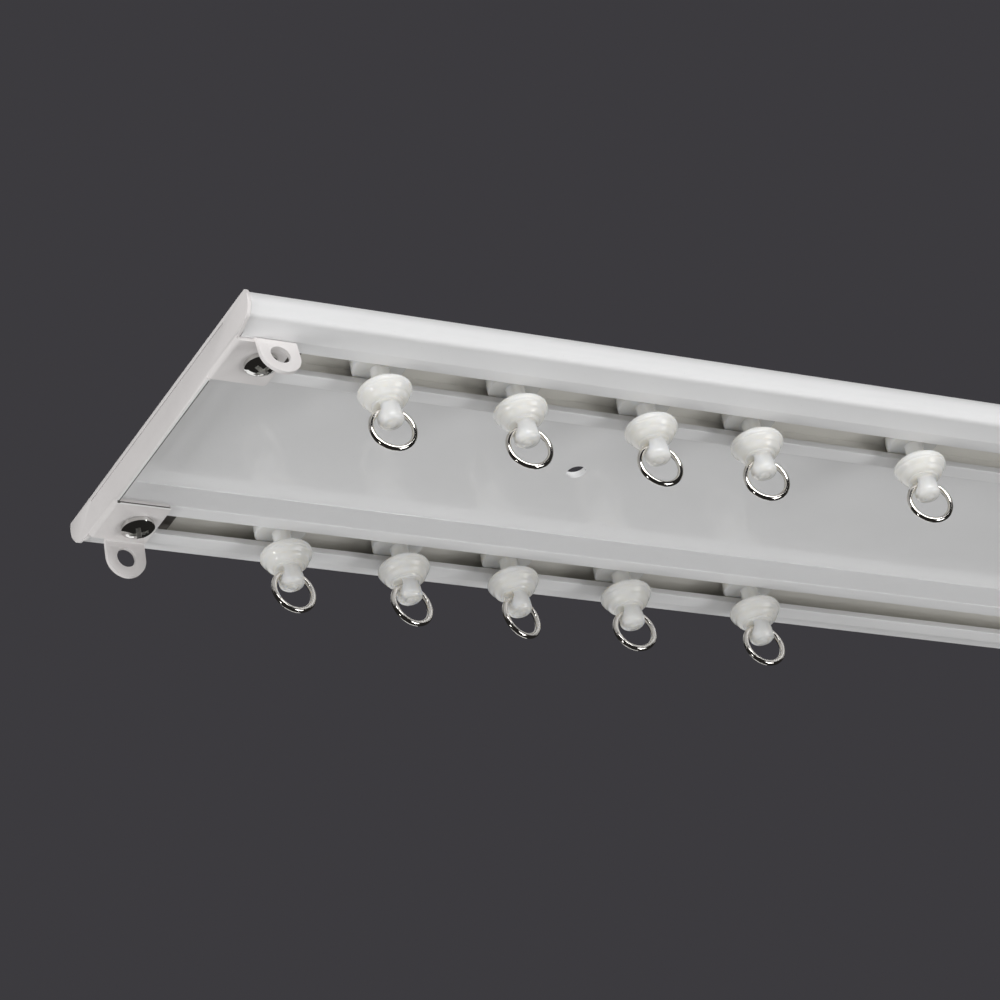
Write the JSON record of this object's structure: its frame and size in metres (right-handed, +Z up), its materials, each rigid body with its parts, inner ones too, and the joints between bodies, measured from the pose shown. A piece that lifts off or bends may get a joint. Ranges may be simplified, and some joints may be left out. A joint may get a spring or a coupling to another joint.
{
  "type": "double curtain track",
  "caption": "Ceiling-mounted double curtain track with rounded fascias, folded end caps with hanging lugs, and sliding gliders that carry wire hook rings.",
  "frame": {"origin": "centre of the flat face that lies against the ceiling", "axes": "+X along the track, +Y across it to the far channel, +Z up into the ceiling"},
  "size_m": [0.36, 0.091, 0.0268],
  "materials": {
    "track_white": "gloss",
    "cap_white": "satin",
    "screw_chrome": "polished",
    "nut_steel": "dull",
    "glider_nylon": "satin",
    "ring_nickel": "polished"
  },
  "bodies": {
    "track": {"track_profile": "track_white", "end_cap_left": "cap_white", "end_cap_right": "cap_white", "near_left_cap_screw": "screw_chrome", "near_left_nut_plate": "nut_steel", "near_right_cap_screw": "screw_chrome", "near_right_nut_plate": "nut_steel", "far_left_cap_screw": "screw_chrome", "far_left_nut_plate": "nut_steel", "far_right_cap_screw": "screw_chrome", "far_right_nut_plate": "nut_steel"},
    "near_glider_1": {"near_glider_1": "glider_nylon"},
    "near_ring_1": {"near_ring_1": "ring_nickel"},
    "near_glider_2": {"near_glider_2": "glider_nylon"},
    "near_ring_2": {"near_ring_2": "ring_nickel"},
    "near_glider_3": {"near_glider_3": "glider_nylon"},
    "near_ring_3": {"near_ring_3": "ring_nickel"},
    "near_glider_4": {"near_glider_4": "glider_nylon"},
    "near_ring_4": {"near_ring_4": "ring_nickel"},
    "near_glider_5": {"near_glider_5": "glider_nylon"},
    "near_ring_5": {"near_ring_5": "ring_nickel"},
    "far_glider_1": {"far_glider_1": "glider_nylon"},
    "far_ring_1": {"far_ring_1": "ring_nickel"},
    "far_glider_2": {"far_glider_2": "glider_nylon"},
    "far_ring_2": {"far_ring_2": "ring_nickel"},
    "far_glider_3": {"far_glider_3": "glider_nylon"},
    "far_ring_3": {"far_ring_3": "ring_nickel"},
    "far_glider_4": {"far_glider_4": "glider_nylon"},
    "far_ring_4": {"far_ring_4": "ring_nickel"},
    "far_glider_5": {"far_glider_5": "glider_nylon"},
    "far_ring_5": {"far_ring_5": "ring_nickel"}
  },
  "joints": [
    {"name": "near_glider_1_slide", "type": "slide", "parent": "track", "child": "near_glider_1", "axis": [1, 0, 0], "range_m": [-0.0135, 0.01045]},
    {"name": "near_ring_1_swing", "type": "hinge", "parent": "near_glider_1", "child": "near_ring_1", "pos_m": [-0.1417, -0.0315, -0.01622], "axis": [0.9877, -0.1564, 0], "range_deg": [-90, 90]},
    {"name": "near_glider_2_slide", "type": "slide", "parent": "track", "child": "near_glider_2", "axis": [1, 0, 0], "range_m": [-0.01045, 0.0103]},
    {"name": "near_ring_2_swing", "type": "hinge", "parent": "near_glider_2", "child": "near_ring_2", "pos_m": [-0.1077, -0.0315, -0.01622], "axis": [0.9903, -0.1392, 0], "range_deg": [-90, 90]},
    {"name": "near_glider_3_slide", "type": "slide", "parent": "track", "child": "near_glider_3", "axis": [1, 0, 0], "range_m": [-0.0103, 0.00755]},
    {"name": "near_ring_3_swing", "type": "hinge", "parent": "near_glider_3", "child": "near_ring_3", "pos_m": [-0.074, -0.0315, -0.01622], "axis": [0.9962, -0.0872, 0], "range_deg": [-90, 90]},
    {"name": "near_glider_4_slide", "type": "slide", "parent": "track", "child": "near_glider_4", "axis": [1, 0, 0], "range_m": [-0.00755, 0.01595]},
    {"name": "near_ring_4_swing", "type": "hinge", "parent": "near_glider_4", "child": "near_ring_4", "pos_m": [-0.0458, -0.0315, -0.01622], "axis": [0.9816, -0.1908, 0], "range_deg": [-90, 90]},
    {"name": "near_glider_5_slide", "type": "slide", "parent": "track", "child": "near_glider_5", "axis": [1, 0, 0], "range_m": [-0.01595, 0.156]},
    {"name": "near_ring_5_swing", "type": "hinge", "parent": "near_glider_5", "child": "near_ring_5", "pos_m": [-0.0008, -0.0315, -0.01622], "axis": [0.9763, -0.2164, 0], "range_deg": [-90, 90]},
    {"name": "far_glider_1_slide", "type": "slide", "parent": "track", "child": "far_glider_1", "axis": [1, 0, 0], "range_m": [-0.0208, 0.00865]},
    {"name": "far_ring_1_swing", "type": "hinge", "parent": "far_glider_1", "child": "far_ring_1", "pos_m": [-0.1344, 0.0315, -0.01622], "axis": [0.9994, 0.0349, 0], "range_deg": [-90, 90]},
    {"name": "far_glider_2_slide", "type": "slide", "parent": "track", "child": "far_glider_2", "axis": [1, 0, 0], "range_m": [-0.00865, 0.00795]},
    {"name": "far_ring_2_swing", "type": "hinge", "parent": "far_glider_2", "child": "far_ring_2", "pos_m": [-0.104, 0.0315, -0.01622], "axis": [0.9945, 0.1045, 0], "range_deg": [-90, 90]},
    {"name": "far_glider_3_slide", "type": "slide", "parent": "track", "child": "far_glider_3", "axis": [1, 0, 0], "range_m": [-0.00795, 0.00885]},
    {"name": "far_ring_3_swing", "type": "hinge", "parent": "far_glider_3", "child": "far_ring_3", "pos_m": [-0.075, 0.0315, -0.01622], "axis": [0.9781, 0.2079, 0], "range_deg": [-90, 90]},
    {"name": "far_glider_4_slide", "type": "slide", "parent": "track", "child": "far_glider_4", "axis": [1, 0, 0], "range_m": [-0.00885, 0.0116]},
    {"name": "far_ring_4_swing", "type": "hinge", "parent": "far_glider_4", "child": "far_ring_4", "pos_m": [-0.0442, 0.0315, -0.01622], "axis": [0.9976, -0.0698, 0], "range_deg": [-90, 90]},
    {"name": "far_glider_5_slide", "type": "slide", "parent": "track", "child": "far_glider_5", "axis": [1, 0, 0], "range_m": [-0.0116, 0.1631]},
    {"name": "far_ring_5_swing", "type": "hinge", "parent": "far_glider_5", "child": "far_ring_5", "pos_m": [-0.0079, 0.0315, -0.01622], "axis": [0.9997, -0.0262, 0], "range_deg": [-90, 90]}
  ]
}
